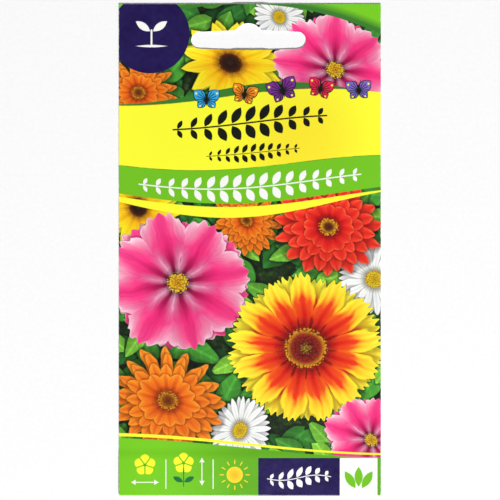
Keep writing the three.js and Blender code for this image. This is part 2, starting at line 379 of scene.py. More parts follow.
LOOKS = {
    "cosmos": Look(
        rings=((8, 0.97, 0.5), (8, 1.0, 0.0)),
        outline=BROAD,
        width=0.2,
        petal={0.0: "#fbdfec", 0.3: "#fdb4d4", 0.6: "#fb5fa3", 1.0: "#ffe9f2"},
        stripe={0.0: "#4d0a2a", 0.32: "#b01055", 0.6: "#f92f80", 1.0: "#fc4a92"},
        shade=(0.5, 0.16, 0.34),
        disc={0.0: "#c98a12", 0.5: "#f2b31b", 0.8: "#ffd23a", 1.0: "#7c4a0c"},
        disc_radius=0.17,
        disc_grain=34.0,
        jitter=0.12,
        uneven=0.09,
        lobes=9.0,
        notch=0.025,
        sway=0.16,
        stripe_edge=(0.2, 0.95),
    ),
    "blanket": Look(
        rings=((13, 0.98, 0.5), (13, 1.0, 0.0)),
        outline=BROAD,
        width=0.155,
        petal={0.0: "#7d0a10", 0.35: "#e3220f", 0.62: "#f8681a", 0.72: "#fde32a", 1.0: "#fff63e"},
        stripe={0.0: "#5a060c", 0.4: "#d0140f", 0.7: "#f5401a", 0.82: "#fdd22a", 1.0: "#fff63e"},
        shade=(0.74, 0.38, 0.05),
        disc={0.0: "#b8a12a", 0.35: "#7a1a14", 0.7: "#a8281a", 0.88: "#f2a422", 1.0: "#3a0a08"},
        disc_radius=0.3,
        disc_grain=30.0,
        uneven=0.08,
        lobes=12.0,
        notch=0.03,
        stripe_edge=(0.15, 0.8),
    ),
    "zinnia": Look(
        rings=((15, 1.0, 0.5), (15, 0.86, 0.0), (14, 0.68, 0.5), (12, 0.5, 0.0)),
        outline=SLIM,
        width=0.14,
        petal={0.0: "#8a0712", 0.5: "#e81a18", 0.85: "#fc4329", 1.0: "#ff8055"},
        stripe={0.0: "#6a0410", 0.6: "#dd1418", 1.0: "#fb3822"},
        shade=(0.42, 0.08, 0.1),
        disc={0.0: "#3c1206", 0.45: "#7a2a0c", 0.75: "#f2b41f", 1.0: "#c8460f"},
        disc_radius=0.2,
        disc_grain=26.0,
        jitter=0.1,
        uneven=0.06,
        sway=0.1,
        fold=CUPPED,
        stripe_edge=(0.1, 0.9),
    ),
    "marigold": Look(
        rings=((16, 1.0, 0.5), (17, 0.88, 0.2), (16, 0.72, 0.5), (14, 0.54, 0.0)),
        outline=SLIM,
        width=0.13,
        petal={0.0: "#b8390a", 0.45: "#ee6a10", 0.8: "#fb8d1c", 1.0: "#ffb03a"},
        stripe={0.0: "#8a2408", 0.5: "#d9500c", 1.0: "#f4801a"},
        shade=(0.6, 0.2, 0.06),
        disc={0.0: "#5a2208", 0.5: "#9a4a0c", 0.8: "#e8981a", 1.0: "#a84a0a"},
        disc_radius=0.2,
        disc_grain=30.0,
        jitter=0.12,
    ),
    "daisy": Look(
        rings=((17, 0.98, 0.5), (17, 1.0, 0.0)),
        outline=SLIM,
        width=0.115,
        petal={0.0: "#e2e4d0", 0.4: "#fbfbf6", 1.0: "#ffffff"},
        stripe={0.0: "#c9ccb4", 0.5: "#eef0ea", 1.0: "#fbfbfa"},
        shade=(0.55, 0.56, 0.66),
        disc={0.0: "#b3a012", 0.4: "#eec21a", 0.8: "#ffd928", 1.0: "#b0780c"},
        disc_radius=0.27,
        disc_grain=34.0,
        stripe_edge=(0.1, 0.8),
    ),
    "coneflower": Look(
        rings=((12, 0.98, 0.5), (13, 1.0, 0.0)),
        outline=POINTED,
        width=0.16,
        petal={0.0: "#ee980a", 0.3: "#fdc810", 0.55: "#ffea1e", 1.0: "#fff640"},
        stripe={0.0: "#8a2a08", 0.3: "#f2a00c", 0.6: "#fdda18", 1.0: "#fff02c"},
        shade=(0.78, 0.42, 0.04),
        disc={0.0: "#4a2a10", 0.4: "#2a130a", 0.8: "#4c200c", 1.0: "#8a4a12"},
        disc_radius=0.25,
        disc_grain=32.0,
        uneven=0.08,
        sway=0.14,
    ),
}
# A petal has its look's half width, over the flower's radius, in a ring of so many.
USUAL_PETALS = 14.0
# Which way a flower gets lighter, and by how much.
LIT_SIDE = (-0.1, 0.16, 0.0)
# How far the shadows round a flower, a ring of its petals and its disc reach, and how dark they are.
FLOWER_SHADOW = (0.2, 0.7)
RING_SHADOW = (0.11, 0.5)
DISC_SHADOW = (0.5, 0.6)
FLOWER_SOCKETS = {
    "Below": "Color",
    "Place": "Vector",
    "Centre": "Vector",
    "Size": "Vector",
    "Turn": "Float",
}


def petal_ring(look, ring, radius, angle, turn, light):
    """One ring of petals: the distance inside the nearest petal, and that petal's colour."""
    petals, reach, offset = look.rings[ring]
    sector = put("MULTIPLY_ADD", angle, petals / TAU, offset)
    index = put("FLOOR", sector)
    dice = put("TexWhiteNoise", put("CombineXYZ", index, float(ring), turn))["Color"]
    red, green, blue = put("SeparateColor", dice)
    jitter = look.jitter * TAU / petals
    lean = put("MULTIPLY_ADD", put("FRACT", sector), TAU / petals, -math.pi / petals - jitter / 2)
    across = put("MULTIPLY", radius, put("MULTIPLY_ADD", red, jitter, lean))
    breadth = put("ABSOLUTE", across)
    along = put("MULTIPLY_ADD", green, look.uneven, radius)
    lobes = put("COSINE", put("MULTIPLY", breadth, look.lobes / look.width))
    along = put("MULTIPLY", put("MULTIPLY_ADD", lobes, -look.notch, along), 1.0 / reach)
    width = look.width * USUAL_PETALS / petals
    half = put("MULTIPLY", put("FloatCurve", 1.0, along, marks=look.outline), width)
    beyond = put("MapRange", along, 1.0, 1.4, 0.0, 0.5)
    inside = put("SUBTRACT", put("SUBTRACT", half, breadth), beyond)
    share = put("DIVIDE", breadth, half)
    veins = grain(put("CombineXYZ", along, across, index), (2.5, 26.0, 7.3), 3.0, 0.55)
    veins = put("MapRange", veins, 0.3, 0.7, 0.72, 1.12)
    fold = put("FloatCurve", 1.0, share, marks=look.fold)
    tone = combine("MULTIPLY", veins, fold, light, put("MULTIPLY_ADD", blue, 0.3, 0.85))
    stripe = put("MapRange", share, *look.stripe_edge, 1.0, 0.0)
    colours = (put("ValToRGB", along, marks=marks)[0] for marks in (look.petal, look.stripe))
    colour = put("Mix", stripe, *colours)
    shade = put("Mix", 1.0, colour, (*look.shade, 1.0), blend_type="MULTIPLY")
    return inside, shine(colour, tone, shade)


def flower_group(name, look):
    """A flower seen from above: rings of petals from the lowest up, and a disc of florets."""
    tree = bpy.data.node_groups.new(name, "ShaderNodeTree")
    for label, kind in FLOWER_SOCKETS.items():
        tree.interface.new_socket(label, in_out="INPUT", socket_type="NodeSocket" + kind)
    tree.interface.new_socket("Print", in_out="OUTPUT", socket_type="NodeSocketColor")
    colour, place, centre, size, turn, _ = tree.nodes.new("NodeGroupInput").outputs
    place = after(place, colour)
    offset = put("SUBTRACT", place, centre)
    flat = put("DIVIDE", put("VectorRotate", offset, None, turn), size)
    red, green, _ = put("SeparateColor", put("TexNoise", place, 0.16, 2.0)["Color"])
    sway = put("ADD", put("CombineXYZ", red, green), (-0.5, -0.5, 0.0))
    sway = put("SCALE", sway, put("MapRange", put("LENGTH", flat), 0.15, 0.8, 0.2, 1.0))
    flat = put("MULTIPLY_ADD", sway, (look.sway,) * 3, flat)
    radius = put("LENGTH", flat)
    x, y, _ = put("SeparateXYZ", flat)
    angle = put("ARCTAN2", y, x)
    light = put("ADD", put("DOT_PRODUCT", put("DIVIDE", offset, size), LIT_SIDE), 1.0)
    for ring in range(len(look.rings)):
        inside, petal = petal_ring(look, ring, radius, angle, turn, light)
        colour = cast_shadow(colour, inside, *(RING_SHADOW if ring else FLOWER_SHADOW))
        colour = lay_ink(colour, petal, inside, 0.02)
    florets = put("TexVoronoi", flat, look.disc_grain)["Distance"]
    share = put("MULTIPLY", put("MULTIPLY_ADD", florets, 0.06, radius), 1.0 / look.disc_radius)
    tone = put("MapRange", florets, 0.0, 0.62, 1.18, 0.35)
    disc = shine(put("ValToRGB", share, marks=look.disc)[0], tone)
    within = put("SUBTRACT", 1.0, share)
    colour = lay_ink(cast_shadow(colour, within, *DISC_SHADOW), disc, within, 0.06)
    connect(tree.nodes.new("NodeGroupOutput").inputs[0], colour)
    return tree


def flower(below, place, kind, centre, size, squash, turn):
    """One flower of a kind, given its radius, its height over its width and its turn."""
    group = bpy.data.node_groups.get(kind) or flower_group(kind, LOOKS[kind])
    return put("Group", below, place, (*centre, 0.0), (size, size * squash, 1.0), turn, node_tree=group)


def leaf_layer(below, place, size, shift, dark, light):
    """A scatter of leaves, one in each cell of a loose net, each turned its own way."""
    moved = put("ADD", after(place, below), shift)
    cell = put("TexVoronoi", moved, 1.0 / size)
    red, green, _ = put("SeparateColor", cell["Color"])
    offset = put("SUBTRACT", moved, cell["Position"])
    x, y, _ = put("SeparateXYZ", put("VectorRotate", offset, None, put("MULTIPLY", red, TAU)))
    along = put("MapRange", x, -0.62 * size, 0.62 * size, 0.0, 1.0, clamp=False)
    half = put("FloatCurve", 1.0, along, marks={0.0: 0.0, 0.12: 0.45, 0.4: 1.0, 0.7: 0.7, 1.0: 0.0})
    breadth = put("ABSOLUTE", y)
    inside = put("SUBTRACT", put("MULTIPLY", half, 0.3 * size), breadth)
    ribs = put("PINGPONG", put("MULTIPLY", put("MULTIPLY_ADD", breadth, -0.8, x), 7.0 / size), 1.0)
    ribs = put("MapRange", ribs, 0.0, 0.35, 1.25, 1.0)
    middle = put("MapRange", breadth, 0.02 * size, 0.05 * size, 1.45, 1.0)
    tone = combine("MULTIPLY", ribs, middle, put("MapRange", y, -0.2 * size, 0.2 * size, 0.72, 1.1))
    colour = shine(put("ValToRGB", green, marks={0.0: dark, 1.0: light})[0], tone)
    return lay_ink(cast_shadow(below, inside, 0.12 * size, 0.65), colour, inside, 0.03 * size)


def foliage(place):
    """Dark soil with leaves over it, the upper ones lighter and sharper."""
    soil = put("TexNoise", place, 0.35, 6.0, 0.7)[0]
    colour = put("ValToRGB", soil, marks={0.36: "#0b120a", 0.55: "#1d3516", 0.7: "#4a5a2c"})[0]
    colour = leaf_layer(colour, place, 15.0, (3.0, 8.0, 0.0), "#123c1c", "#2f7a2a")
    colour = leaf_layer(colour, place, 12.0, (40.0, 3.0, 0.0), "#1c5a26", "#4fa534")
    return leaf_layer(colour, place, 9.0, (11.0, 70.0, 0.0), "#2f7d2c", "#86c83e")


# ---------------------------------------------------------------------------------------------------
# The front's artwork.

# Each flower of the collage, from the back to the front: kind, centre, radius, height over width, turn.
COLLAGE = (
    ("marigold", (-34.0, 48.0), 13.0, 0.9, 0.2),
    ("daisy", (9.0, 71.0), 9.0, 0.85, 1.0),
    ("coneflower", (-6.0, 57.0), 17.0, 0.8, 0.3),
    ("cosmos", (26.0, 55.0), 20.0, 0.82, 0.5),
    ("marigold", (-1.0, 9.0), 12.0, 0.85, 0.9),
    ("daisy", (38.0, -9.0), 12.0, 0.95, 0.2),
    ("zinnia", (24.0, 7.0), 17.5, 0.9, 0.35),
    ("coneflower", (-34.0, 13.0), 14.0, 0.9, 0.8),
    ("daisy", (-3.0, -55.0), 11.0, 0.85, 2.0),
    ("cosmos", (-22.0, -10.0), 22.5, 0.94, 0.15),
    ("marigold", (-25.0, -46.0), 19.0, 0.88, 0.4),
    ("blanket", (17.0, -30.0), 24.0, 0.95, 0.1),
    ("cosmos", (37.0, -58.0), 15.0, 0.85, 0.7),
)
# How far a flower and its shadow reach, over its radius.
FLOWER_REACH = 1.2
# Wavy lines, each as its height, swing, wave length and shift.
RIBBON_EDGE = (47.9, 3.4, 104.0, 14.0)
RIBBON_TOP = (46.6, 2.6, 120.0, 8.0)
RIBBON_FOOT = (26.6, 2.4, 120.0, -14.0)
BAND_FOOT = (17.2, 3.2, 132.0, -26.0)
CRESCENT_TOP = (16.3, 3.2, 132.0, -26.0)
CRESCENT_FOOT = (14.6, 4.9, 132.0, -26.0)
FOOTER_LINE_TOP = (-58.9, 3.1, 180.0, 90.0)
FOOTER_LINE_FOOT = (-59.8, 2.9, 180.0, 90.0)
FOOTER_TOP = (-60.4, 3.0, 180.0, 90.0)
BELOW_ALL = (BOTTOM - 9.0, 0.0, 1.0, 0.0)
ABOVE_ALL = (TOP + 2.0, 0.0, 1.0, 0.0)
BUTTERFLY_PITCH = 11.6
BUTTERFLY_START = -19.0
BUTTERFLIES = 5
BUTTERFLY_SIZES = {0.0: 0.86, 0.4: 0.9, 0.5: 1.0, 0.6: 0.9, 1.0: 0.84}
BUTTERFLY_COLOURS = {0.0: "#35a8e2", 0.25: "#f08a24", 0.5: "#7a2f92", 0.75: "#e2264f", 1.0: "#7b68bd"}
# Each seed of the footer's fan: how far it lies to the side, its height and how far it leans.
SEED_FAN = ((-2.6, -70.1, -32.0), (0.0, -69.2, 0.0), (2.6, -70.1, 32.0))


def corner_wedge(below, place, dark, light):
    """A green wedge above a wide arc at the top right, darker along the arc."""
    outside = put("MULTIPLY", circle(after(place, below), (-2.0, -25.0), 100.0), -1.0)
    return lay_ink(lay_ink(below, dark, outside), light, put("SUBTRACT", outside, 1.1), 2.5)


def glowing_ribbon(below, place, ink, glow):
    """A waving ribbon with a soft glow at its right."""
    share = put("DISTANCE", after(place, below), (17.0, 33.0, 0.0))
    share = put("MapRange", share, 3.0, 26.0, 0.32, 0.0, interpolation_type="SMOOTHSTEP")
    return wavy_band(below, place, put("Mix", share, ink, glow), RIBBON_FOOT, RIBBON_TOP)


def footer_band(below, place, left, right):
    """The footer's green, which deepens from the left."""
    share = put("SeparateXYZ", after(place, below))[0]
    share = put("MapRange", share, -32.0, 4.0, 0.0, 1.0, interpolation_type="SMOOTHSTEP")
    return wavy_band(below, place, put("Mix", share, left, right), BELOW_ALL, FOOTER_TOP)


def butterfly_row(below, place, dark, spot_ink):
    """Five small butterflies in dark outline along the ribbon's top, each in its own colour."""
    x, y, _ = put("SeparateXYZ", after(place, below))
    index = put("FLOOR", put("MULTIPLY_ADD", x, 1.0 / BUTTERFLY_PITCH, -BUTTERFLY_START / BUTTERFLY_PITCH))
    middle = put("MULTIPLY_ADD", index, BUTTERFLY_PITCH, BUTTERFLY_START + BUTTERFLY_PITCH / 2)
    order = put("MULTIPLY", index, 1.0 / (BUTTERFLIES - 1))
    size = put("FloatCurve", 1.0, order, marks=BUTTERFLY_SIZES)
    tilt = put("MULTIPLY", put("SINE", put("MULTIPLY", index, 2.4)), 0.3)
    spot = put("CombineXYZ", put("SUBTRACT", x, middle), put("SUBTRACT", y, wave(middle, *RIBBON_TOP)))
    spot = put("DIVIDE", put("VectorRotate", spot, None, tilt), put("CombineXYZ", size, size, 1.0))
    half = mirror(spot)
    wings = lens(half, (2.35, 1.25), 6.0, 4.6, 40.0), lens(half, (1.75, -1.5), 4.2, 3.2, -48.0)
    body = lens(half, (0.0, -0.1), 5.0, 0.9, 90.0)
    feelers = lens(half, (0.75, 3.0), 2.6, 0.3, 65.0)
    row = put("COMPARE", put("WRAP", index, -0.5, BUTTERFLIES - 0.5), index)
    colour = lay_ink(below, dark, put("MULTIPLY", union(*wings, body, feelers), row))
    inner = union(*(put("SUBTRACT", wing, 0.32) for wing in wings))
    x, y, _ = put("SeparateXYZ", fold_round(half, (0.2, -0.1), 18))
    veins = union(put("SUBTRACT", put("ABSOLUTE", y), 0.07), put("SUBTRACT", x, 3.3))
    inner = overlap(inner, put("SUBTRACT", put("SUBTRACT", inner, body), 0.2), veins)
    wing_ink = put("ValToRGB", order, marks=BUTTERFLY_COLOURS)[0]
    colour = lay_ink(colour, wing_ink, put("MULTIPLY", inner, row))
    spots = union(circle(half, (3.7, 2.1), 0.42), circle(half, (2.3, -2.3), 0.36))
    return lay_ink(colour, spot_ink, put("MULTIPLY", spots, row))


# What is printed over the collage, by the lowest and highest place that it reaches, from the lowest layer
# up. Each row gives a function, its inks and its sizes.
FRONT_LAYERS = {
    (64.0, TOP + 1.0): [(corner_wedge, "leaf bright")],
    # The ribbon, edged in green, over a green band with a yellow crescent below it.
    (8.0, 52.0): [
        (wavy_band, "yellow", CRESCENT_FOOT, CRESCENT_TOP),
        (wavy_band, "leaf", RIBBON_TOP, RIBBON_EDGE),
        (wavy_band, "band", BAND_FOOT, RIBBON_FOOT),
        (glowing_ribbon, "yellow orange"),
    ],
    # Leafy stems, where a title and the lines below it would stand.
    (32.0, 46.0): [(garland, "dark", (38.8, 2.3, 120.0, 0.0), 0.0, 11, 4.3, 5.4)],
    (14.0, 36.0): [
        (garland, "dark", (30.3, 2.0, 120.0, -8.0), 1.0, 11, 2.6, 3.0),
        (garland, "white", (21.3, 2.8, 126.0, -20.0), 0.0, 17, 4.0, 4.5),
    ],
    (42.0, 56.0): [(butterfly_row, "dark yellow")],
    # A round badge at the top left, with a seedling.
    (52.0, TOP + 1.0): [
        (shaded_fill, "violet indigo", circle, (-30.5, 66.0), 12.2),
        (sprout, "white", (-30.0, 66.5), 5.4),
    ],
    # The footer under a thin yellow line, with a violet block and a white square.
    (BOTTOM - 1.0, -55.0): [
        (wavy_band, "yellow", FOOTER_LINE_FOOT, FOOTER_LINE_TOP),
        (footer_band, "bright footer"),
        (shaded_fill, "violet indigo", box, (15.0, -70.0), (12.5, 6.6)),
        (garland, "white", (-69.5, 0.8, 22.0, -15.0), 15.0, 7, 2.8, 3.4),
        (fill, "white", (box, (33.2, -70.0), (5.8, 6.6))),
        (fill, "band", *((lens, (33.2 + x, y), 6.2, 2.6, 90.0 - lean) for x, y, lean in SEED_FAN)),
        # Pictograms of how far apart and how high the plants grow, and of the sun that they like.
        (blossom, "yellow footer", (-32.0, -65.6), 3.3),
        (
            fill,
            "white",
            (double_arrow, (-32.0, -70.9), 4.2),
            (double_arrow, (-14.6, -67.6), 4.2, 90.0),
            *((box, (x, -68.4), (0.2, 4.6)) for x in (-25.6, -11.2)),
        ),
        (
            fill,
            "stem",
            (box, (-20.2, -69.4), (0.2, 2.9)),
            *((lens, (-20.2 + x, -70.0), 3.6, 1.7, 16.0 * x) for x in (-1.7, 1.7)),
        ),
        (blossom, "yellow footer", (-20.2, -65.0), 3.2),
        (sun, "sun orange", (-4.6, -68.6), 4.7),
    ],
}
# The front is printed in bands that meet at these places, so that each material holds only what reaches it.
FRONT_BANDS = (BOTTOM - 2.0, -20.0, 33.0, TOP + 1.0)


def print_rows(colour, place, rows, inks):
    """Prints rows in order over a colour."""
    for draw, names, *sizes in rows:
        colour = draw(colour, place, *(getattr(inks, name) for name in names.split()), *sizes)
    return colour


def front_print(place, low, high, inks):
    """The front's artwork between two heights: a collage of garden flowers with what is printed over it."""
    colour = foliage(place)
    for kind, centre, size, squash, turn in COLLAGE:
        reach = FLOWER_REACH * size
        if centre[1] + reach > low and centre[1] - reach < high:
            colour = flower(colour, place, kind, centre, size, squash, turn)
    for (foot, top), rows in FRONT_LAYERS.items():
        if top > low and foot < high:
            colour = print_rows(colour, place, rows, inks)
    return colour


# ---------------------------------------------------------------------------------------------------
# The back's artwork, seen from behind.

MONTHS = 12
CALENDAR_CELL = 5.6
CALENDAR_LEFT = -MONTHS * CALENDAR_CELL / 2
CALENDAR_GAP = 0.18
ROW_HALF = 2.9
# The calendar's rows: how high each lies, and the months when its season starts and ends.
SEASONS = ((2.0, 2.0, 5.0), (-4.6, 5.0, 9.0))
RULE_PITCH = 4.4
PICTURE_CENTRE = (-18.0, 34.5)
TILE_PLACES = (-26.25, -8.75, 8.75, 26.25)
TILE_LEVEL = -22.0


def growing_calendar(below, place, empty, *months):
    """Twelve months in two rows of tinted cells: one ink to sow, another to bloom."""
    x, y, _ = put("SeparateXYZ", after(place, below))
    across = put("SUBTRACT", x, CALENDAR_LEFT)
    edge = put("SUBTRACT", put("PINGPONG", across, CALENDAR_CELL / 2), CALENDAR_GAP)
    month = put("MULTIPLY", across, 1.0 / CALENDAR_CELL)
    for ink, (row, first, last) in zip(months, SEASONS):
        level = put("SUBTRACT", ROW_HALF, put("ABSOLUTE", put("SUBTRACT", y, row)))
        cell = overlap(edge, level, box(put("CombineXYZ", month), (MONTHS / 2, 0.0), (MONTHS / 2, 1.0)))
        season = overlap(put("SUBTRACT", month, first), put("SUBTRACT", last, month))
        below = lay_ink(lay_ink(below, empty, cell), ink, overlap(season, cell))
    return below


def ruled_lines(below, place, grey, green):
    """Pale ruled lines for the gardener's own notes, each led by a small leaf."""
    place = after(place, below)
    x, y, _ = put("SeparateXYZ", place)
    spot = put("CombineXYZ", x, put("WRAP", y, RULE_PITCH / 2, -RULE_PITCH / 2))
    field = box(place, (20.5, 34.3), (15.5, 12.9))
    colour = lay_ink(below, grey, overlap(box(spot, (22.0, -0.6), (14.0, 0.12)), field))
    return lay_ink(colour, green, overlap(lens(spot, (6.2, 0.1), 2.0, 1.0, 30.0), field))


def back_picture(below, place, ring):
    """A round picture of one flower among leaves, in a green ring."""
    picture = flower(foliage(after(place, below)), place, "cosmos", PICTURE_CENTRE, 12.5, 0.96, 0.9)
    within = circle(after(place, picture), PICTURE_CENTRE, 14.6)
    return lay_ink(lay_ink(below, ring, within), picture, put("SUBTRACT", within, 1.0))


# What is printed on the back, from the lowest layer up, in the same kind of rows.
BACK_ROWS = (
    (back_picture, "band"),
    (ruled_lines, "mist_line band"),
    # The header and its line.
    (wavy_band, "yellow", (55.0, 1.5, 110.0, 20.0), (58.0, 1.9, 110.0, 20.0)),
    (wavy_band, "band", (56.4, 1.9, 110.0, 20.0), ABOVE_ALL),
    (garland, "band", (13.0, 0.8, 40.0, 0.0), 0.0, 21, 3.2, 3.0),
    (growing_calendar, "mist bright pink"),
    # Four pale tiles with pictograms of sun, water, spacing and sowing.
    (fill, "mist", *((box, (x, TILE_LEVEL), (7.4, 7.4), 1.6) for x in TILE_PLACES)),
    (sun, "sun orange", (TILE_PLACES[0], TILE_LEVEL), 5.0),
    (fill, "water", (drop, (TILE_PLACES[1], -23.4), 2.9)),
    (blossom, "pink yellow", (TILE_PLACES[2], -20.4), 4.0),
    (fill, "leaf", (double_arrow, (TILE_PLACES[2], -26.6), 4.6)),
    (sprout, "leaf", (TILE_PLACES[3], TILE_LEVEL), 4.4),
    (garland, "band", (-38.0, 0.8, 40.0, 0.0), 0.0, 21, 3.2, 3.0),
    # An empty framed field, where a packer stamps the batch and the date.
    (fill, "band", (box, (0.0, -49.5), (29.0, 5.0), 1.4)),
    (fill, "white", (box, (0.0, -49.5), (28.65, 4.65), 1.05)),
    # The footer and its line.
    (wavy_band, "yellow", (-61.0, 1.4, 120.0, 0.0), (-59.0, 1.2, 120.0, 0.0)),
    (wavy_band, "footer", BELOW_ALL, (-60.4, 1.6, 120.0, 0.0)),
    (garland, "white", (-69.6, 0.7, 50.0, 0.0), 0.0, 19, 3.6, 3.6),
)


def back_print(place, inks):
    """The back's artwork: green header and footer on white, a picture, note lines, a calendar and hints."""
    colour = put("Mix", put("TexNoise", place, 0.05, 2.0)[0], inks.white, inks.cream)
    return print_rows(colour, place, BACK_ROWS, inks)


# ---------------------------------------------------------------------------------------------------
# Materials.


def new_material(name):
    """An empty material with its node tree."""
    material = bpy.data.materials.new(name)
    material.use_nodes = True
    return material, material.node_tree


def surfaced(material, **surface):
    """The material with its shader's inputs, named with _ for a space, linked or set."""
    for name, value in surface.items():
        connect(material.node_tree.nodes["Principled BSDF"].inputs[name.replace("_", " ")], value)
    return material


def offset_printed_coated_paper(name, artwork, wear):
    """White clay-coated paper, offset printed and sealed with a dispersion varnish.

    The coating hides the fibres, so the inks lie flat and clear under a soft satin sheen, which is a
    little uneven where the varnish sank in. Along the folds the coating cracks and shows white.
    """
    material, tree = new_material(name)
    place = put("UVMap", tree=tree, uv_map="Print")
    colour = artwork(place)
    # Cracks a tenth of a millimetre wide run along the folds, drawn twice as wide to show.
    from_middle = put("DOT_PRODUCT", put("ABSOLUTE", place), (1.0, 0.0, 0.0))
    fold = put("MapRange", from_middle, HIGH.x - 0.5, HIGH.x - 0.08, 0.0, 1.0)
    crack = put("MULTIPLY", grain(place, (5.0, 0.9, 1.0), 4.0, 0.65), fold)
    crack = put("MapRange", crack, 0.52 - 0.1 * wear, 0.6, 0.0, 0.8)
    colour = put("Mix", crack, colour, linear("#f1efe8"))
    varnish = put("MapRange", put("TexNoise", place, 0.6, 3.0, 0.6)[0], 0.3, 0.7, 0.32, 0.41)
    # Coated paper has an orange-peel of about half a millimetre.
    peel = put("Bump", 0.12, 0.05 * MM, None, put("TexNoise", place, 2.2, 4.0, 0.6)[0])
    return surfaced(material, Base_Color=colour, Roughness=varnish, Normal=peel)


def uncoated_paper_side():
    """The bare side and cut edge of the wood-free paper: warm white, dull and finely fibrous."""
    material, tree = new_material("uncoated_paper_side")
    place = put("UVMap", tree=tree, uv_map="Print")
    # Fibres are about 0.03 mm thick and 1 to 2 mm long, drawn four times as thick to show.
    fibres = grain(place, (8.0, 1.2, 1.0), 5.0, 0.65)
    colour = put("ValToRGB", fibres, marks={0.3: "#e6e2d6", 0.5: "#f1eee5", 0.7: "#f8f6ef"})[0]
    bump = put("Bump", 0.3, 0.05 * MM, None, fibres)
    return surfaced(material, Base_Color=colour, Normal=bump, Roughness=0.85)


def dried_dispersion_glue():
    """White dispersion glue, rolled on and dried: a milky, slightly glossy film, streaked by the roller."""
    material, tree = new_material("dried_dispersion_glue")
    place = put("NewGeometry", tree=tree)["Position"]
    # The roller leaves streaks about 1.5 mm apart.
    streaks = grain(place, (650.0, 90.0, 1.0), 4.0, 0.6)
    return surfaced(
        material,
        Base_Color=put("ValToRGB", streaks, marks={0.3: "#d9d3bf", 0.55: "#ece8da", 0.75: "#f6f4ec"})[0],
        Normal=put("Bump", 0.4, 0.02 * MM, None, streaks),
        Roughness=0.35,
        IOR=1.47,
        Subsurface_Weight=0.25,
        Subsurface_Radius=(0.4 * MM, 0.35 * MM, 0.25 * MM),
        Subsurface_Scale=1.0,
    )


def dry_seed_coat(coat):
    """The achene's dry woody coat: dull brown, finely ribbed along its length and flecked, with painted
    shade in the furrows of its fine ribs and painted light on their ridges.
    """
    material, tree = new_material("dry_seed_coat")
    # The finest ribs are about 0.1 mm apart.
    ribs = grain(put("TexCoord", tree=tree)["UV"], (1.6, 9.0, 1.0), 5.0, 0.7)
    # The coat's tone follows the ribs' noise: partly its own streaky colour, partly painted shade in the
    # furrows and painted light on the ridges.
    colour = shine(coat, put("MapRange", ribs, 0.3, 0.75, 0.55, 1.5))
    bump = put("Bump", 0.7, 0.03 * MM, None, ribs)
    return surfaced(material, Base_Color=colour, Normal=bump, Roughness=0.75, IOR=1.47)


def silky_seed_hair(hair):
    """The brush of dry plant hairs: pale, straw-like, with a silky sheen and darker roots."""
    material, tree = new_material("silky_seed_hair")
    along = put("SeparateXYZ", put("TexCoord", tree=tree)["UV"])[0]
    colour = shine(hair, put("MapRange", along, 0.8, 2.4, 0.55, 1.1), linear("#5b4630"))
    sheen = {"Sheen_Weight": 0.4, "Sheen_Roughness": 0.35}
    return surfaced(material, Base_Color=colour, Roughness=0.45, IOR=1.55, **sheen)


def matt_backdrop_board():
    """A sheet of matt white backdrop board, with the faintest tooth."""
    material, tree = new_material("matt_backdrop_board")
    tooth = put("TexNoise", put("NewGeometry", tree=tree)["Position"], 900.0, 2.0)[0]
    colour = put("ValToRGB", tooth, marks={0.3: "#f3f3f3", 0.7: "#f6f6f6"})[0]
    return surfaced(material, Base_Color=colour, Roughness=0.9, Specular_IOR_Level=0.1)


# ---------------------------------------------------------------------------------------------------
# The folded sheet.

# The bake map spans so many millimetres each way. Near its top lie a strip for the sheet's inside and one
# for the slot's cut edge, with their heights and the cut edge's length given as shares of the map.
BAKE_SPAN = 180.0
BAKE_MARGIN = 2.0
INSIDE_STRIP = (0.925, 0.98)
CUT_STRIP = (0.99, 0.998)
CUT_LENGTH = 0.9
PUNCH_DEPTH = 4.0
SHARP_ANGLE = math.radians(40.0)
# How far puckers run out from a glued end, their pitch, how much it drifts, and over what pitch.
HEADER_PUCKERS = (7.0, 1.15, 0.9, 3.7)
FOOT_PUCKERS = (6.0, 1.3, 1.1, 4.9)
CORNERS = ((0, 0), (0, 1), (1, 1), (1, 0))


def steps(start, stop, cell):
    """Evenly spaced values from start to stop, about a cell apart."""
    return np.linspace(start, stop, round(abs(stop - start) / cell) + 1)


def smooth(t):
    """0 to 1 as t goes from 0 to 1, easing in and out."""
    t = np.clip(t, 0.0, 1.0)
    return t * t * (3.0 - 2.0 * t)


def grid(x, y, z):
    """Points whose coordinates are spread over all rows and columns."""
    return np.stack(np.broadcast_arrays(x, y, z), axis=-1)


def base(y):
    """Height of the back's underside: on the flap near the bottom, and on the table elsewhere."""
    return STEP * smooth((BACK_DOWN - y) / FLAP_RAMP)


def puckers(x, away, fade, pitch, drift, drift_pitch):
    """Small creases side by side, of a drifting pitch, that fade out away from a glued end."""
    return np.exp(-np.maximum(away, 0.0) / fade) * np.sin(x / pitch + drift * np.sin(x / drift_pitch))


def cockle(x, y, sheet):
    """How far the front waves in and out: broad waves, and puckers that run out from both glued ends."""
    broad = np.sin(x / 9.1 + 1.3 + 0.4 * np.sin(y / 15.0)) * np.sin(y / 13.7 + 0.6)
    broad = broad + 0.5 * np.sin(x / 5.3 - y / 19.0)
    ends = puckers(x, HEADER_START - y, *HEADER_PUCKERS) + puckers(x, y - TUBE_END, *FOOT_PUCKERS)
    edge = 1.0 - (np.abs(x) / FOLD_X) ** 6
    return edge * (sheet.cockle / MM * broad / 1.5 + sheet.pucker / MM * ends)


